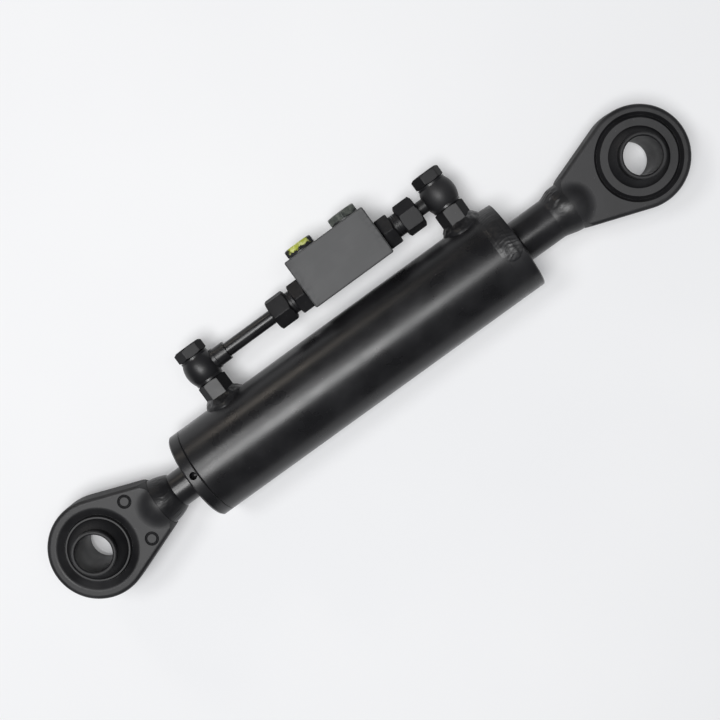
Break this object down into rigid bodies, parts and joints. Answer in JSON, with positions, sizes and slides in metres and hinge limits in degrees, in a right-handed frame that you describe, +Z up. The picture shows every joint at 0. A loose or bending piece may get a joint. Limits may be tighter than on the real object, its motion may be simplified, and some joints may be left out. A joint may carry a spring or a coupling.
{
  "type": "tractor top link",
  "caption": "Hydraulic top link: a barrel and sliding rod with forged ball eyes, and a piped check valve block on its side that locks the length.",
  "frame": {"origin": "centre of the barrel-end ball", "axes": "+X along the link towards the rod end, +Z up along the pin bores, the valve on the -Y side"},
  "size_m": [0.52, 0.123, 0.0666],
  "materials": {
    "black_paint": "satin",
    "valve_grey": "satin",
    "rod_chrome": "polished",
    "plain_steel": "machined",
    "yellow_plug": "satin",
    "dark_plug": "satin",
    "seal_rubber": "matte",
    "guide_plastic": "matte"
  },
  "bodies": {
    "barrel": {"barrel_tube": "black_paint", "end_cap": "black_paint", "end_cap_weld": "black_paint", "rear_stem": "black_paint", "stem_weld": "black_paint", "rear_eye": "black_paint", "rear_eye_weld": "black_paint", "gland": "black_paint", "gland_o_ring": "seal_rubber", "rod_seal": "seal_rubber", "rod_wiper": "seal_rubber", "rod_guide_ring": "guide_plastic", "rear_port_boss": "black_paint", "front_port_boss": "black_paint", "rear_boss_weld": "black_paint", "front_boss_weld": "black_paint", "rear_lower_washer": "black_paint", "rear_upper_washer": "black_paint", "front_lower_washer": "black_paint", "front_upper_washer": "black_paint", "rear_banjo": "black_paint", "front_banjo": "black_paint", "rear_banjo_bolt": "black_paint", "front_banjo_bolt": "black_paint", "transfer_tube": "black_paint", "tube_nut": "black_paint", "swivel_nut": "black_paint", "cutting_ring": "plain_steel", "front_adapter": "black_paint", "rear_adapter": "black_paint", "valve_block": "valve_grey", "front_port_plug": "yellow_plug", "rear_port_plug": "dark_plug", "front_check_seat": "plain_steel", "rear_check_seat": "plain_steel", "front_check_spring": "plain_steel", "rear_check_spring": "plain_steel"},
    "packing": {"piston_seal": "seal_rubber", "piston_guide_ring": "guide_plastic"},
    "rod": {"piston_rod": "rod_chrome", "piston": "plain_steel", "piston_nut": "plain_steel", "rod_eye": "black_paint", "rod_eye_weld": "black_paint"},
    "rear_ball_body": {"rear_ball": "black_paint"},
    "rod_ball_body": {"rod_ball": "black_paint"},
    "pilot": {"pilot_piston": "plain_steel"},
    "front_check": {"front_check_poppet": "plain_steel"},
    "rear_check": {"rear_check_poppet": "plain_steel"}
  },
  "joints": [
    {"name": "rod_extend", "type": "slide", "parent": "barrel", "child": "packing", "axis": [1, 0, 0], "range_m": [0, 0.15]},
    {"name": "rod_turn", "type": "hinge", "parent": "packing", "child": "rod", "pos_m": [0.2, 0, 0], "axis": [1, 0, 0], "continuous": true},
    {"name": "rear_ball_tilt", "type": "hinge", "parent": "barrel", "child": "rear_ball_body", "pos_m": [0, 0, 0], "axis": [0, 1, 0], "range_deg": [-15, 15]},
    {"name": "rod_ball_tilt", "type": "hinge", "parent": "rod", "child": "rod_ball_body", "pos_m": [0.45, 0, 0], "axis": [0, 1, 0], "range_deg": [-15, 15]},
    {"name": "pilot_shift", "type": "slide", "parent": "barrel", "child": "pilot", "axis": [1, 0, 0], "range_m": [0, 0.0024]},
    {"name": "front_check_lift", "type": "slide", "parent": "barrel", "child": "front_check", "axis": [1, 0, 0], "range_m": [0, 0.0024], "deforming": ["front_check_spring"]},
    {"name": "rear_check_lift", "type": "slide", "parent": "barrel", "child": "rear_check", "axis": [1, 0, 0], "range_m": [-0.0024, 0], "deforming": ["rear_check_spring"]}
  ],
  "couplings": [
    {"joint": "front_check_lift", "follows": "pilot_shift", "ratio": 1},
    {"joint": "rear_check_lift", "follows": "pilot_shift", "ratio": -1}
  ]
}
